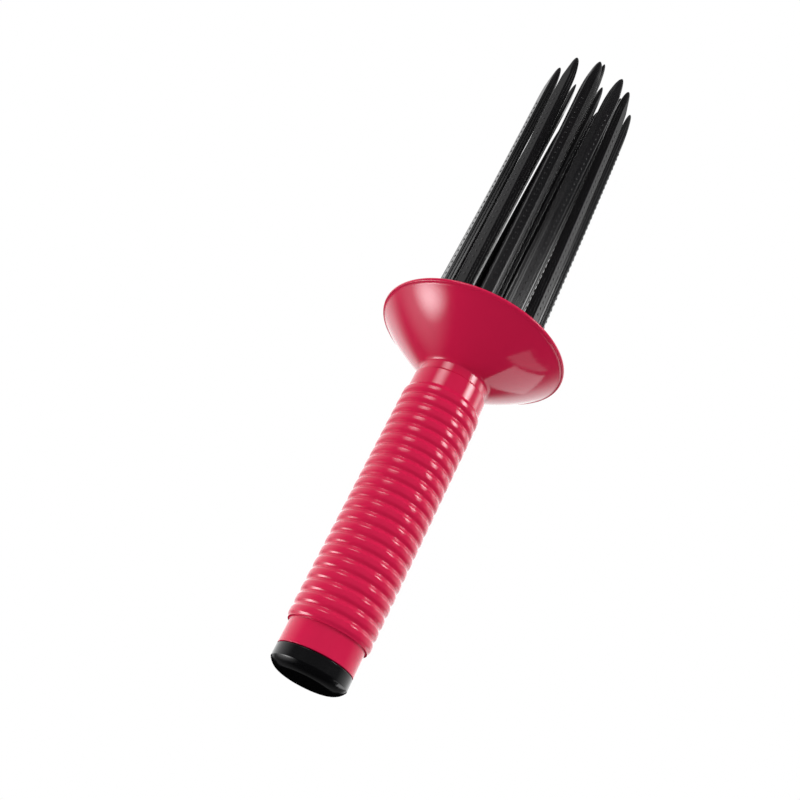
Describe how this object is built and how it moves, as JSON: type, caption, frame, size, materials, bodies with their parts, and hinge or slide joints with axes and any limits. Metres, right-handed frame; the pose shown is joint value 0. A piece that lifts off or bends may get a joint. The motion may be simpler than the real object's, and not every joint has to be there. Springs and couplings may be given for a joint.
{
  "type": "round styling comb",
  "caption": "Hair styling comb: long upright teeth in rings, set in a shallow dish guard on a hollow ribbed handle with a plug end cap.",
  "frame": {"origin": "centre of the end cap's flat foot, which the comb stands on", "axes": "+Z along the comb from the end cap to the tips of the teeth; -Y is the side seen in the picture, +X is to the right in it"},
  "size_m": [0.0772, 0.0772, 0.3025],
  "materials": {
    "pink_plastic": "glossy moulded, deep pink",
    "black_plastic": "glossy moulded, black",
    "tooth_plastic": "satin moulded, black",
    "plated_steel": "bright plated"
  },
  "bodies": {
    "root": {"end_cap": "black_plastic", "handle": "pink_plastic", "dish": "pink_plastic", "base_plate": "black_plastic", "slotted_plate": "black_plastic", "hub_screw": "plated_steel", "plate_screw_1": "plated_steel", "plate_screw_2": "plated_steel", "plate_screw_3": "plated_steel", "outer_tooth_01": "tooth_plastic", "outer_tooth_02": "tooth_plastic", "outer_tooth_03": "tooth_plastic", "outer_tooth_04": "tooth_plastic", "outer_tooth_05": "tooth_plastic", "outer_tooth_06": "tooth_plastic", "outer_tooth_07": "tooth_plastic", "outer_tooth_08": "tooth_plastic", "outer_tooth_09": "tooth_plastic", "outer_tooth_10": "tooth_plastic", "outer_tooth_11": "tooth_plastic", "outer_tooth_12": "tooth_plastic", "inner_tooth_1": "tooth_plastic", "inner_tooth_2": "tooth_plastic", "inner_tooth_3": "tooth_plastic", "inner_tooth_4": "tooth_plastic", "centre_tooth": "tooth_plastic"}
  },
  "joints": []
}
